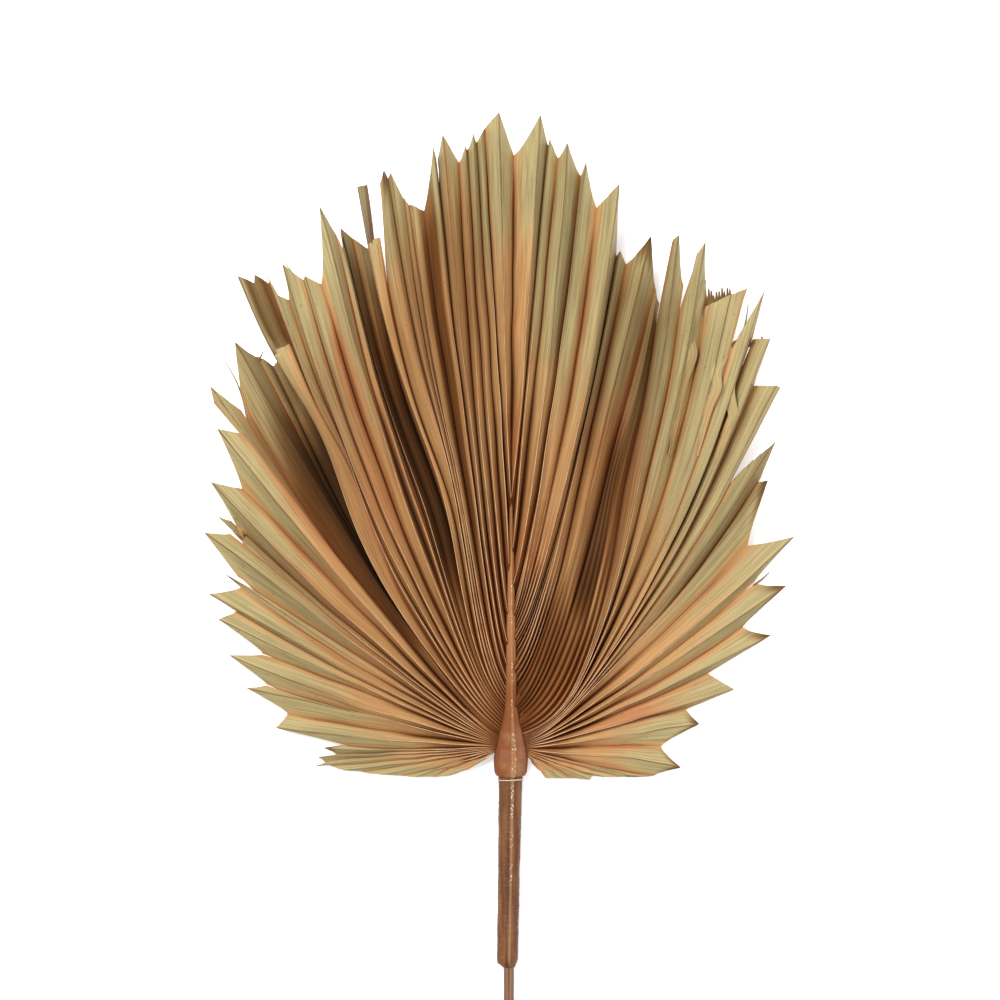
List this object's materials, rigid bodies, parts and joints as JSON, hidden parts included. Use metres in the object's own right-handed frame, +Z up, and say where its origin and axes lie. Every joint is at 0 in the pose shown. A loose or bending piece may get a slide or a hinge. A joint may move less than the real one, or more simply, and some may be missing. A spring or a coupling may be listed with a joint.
{
  "type": "dried fan palm frond",
  "caption": "Dried pleated fan palm leaf lying flat, back up, on its short stalk, with a wrapped sleeve and a long round stick to hold it by.",
  "frame": {"origin": "centre of the bounding box's underside, on the surface the frond lies on", "axes": "+Y from the stick's free end to the leaf's tip, +Z up from the surface, +X to the right as seen from above"},
  "size_m": [0.443, 0.891, 0.0579],
  "materials": {
    "leaf": "matt, fibrous, dried leaf",
    "stalk": "satin, dried stalk",
    "sleeve": "brown crepe paper tape",
    "thread": "white cotton thread",
    "stick": "plain round stick"
  },
  "bodies": {
    "root": {"blade": "leaf", "stalk": "stalk", "sleeve": "sleeve", "tie": "thread", "stick": "stick"}
  },
  "joints": []
}
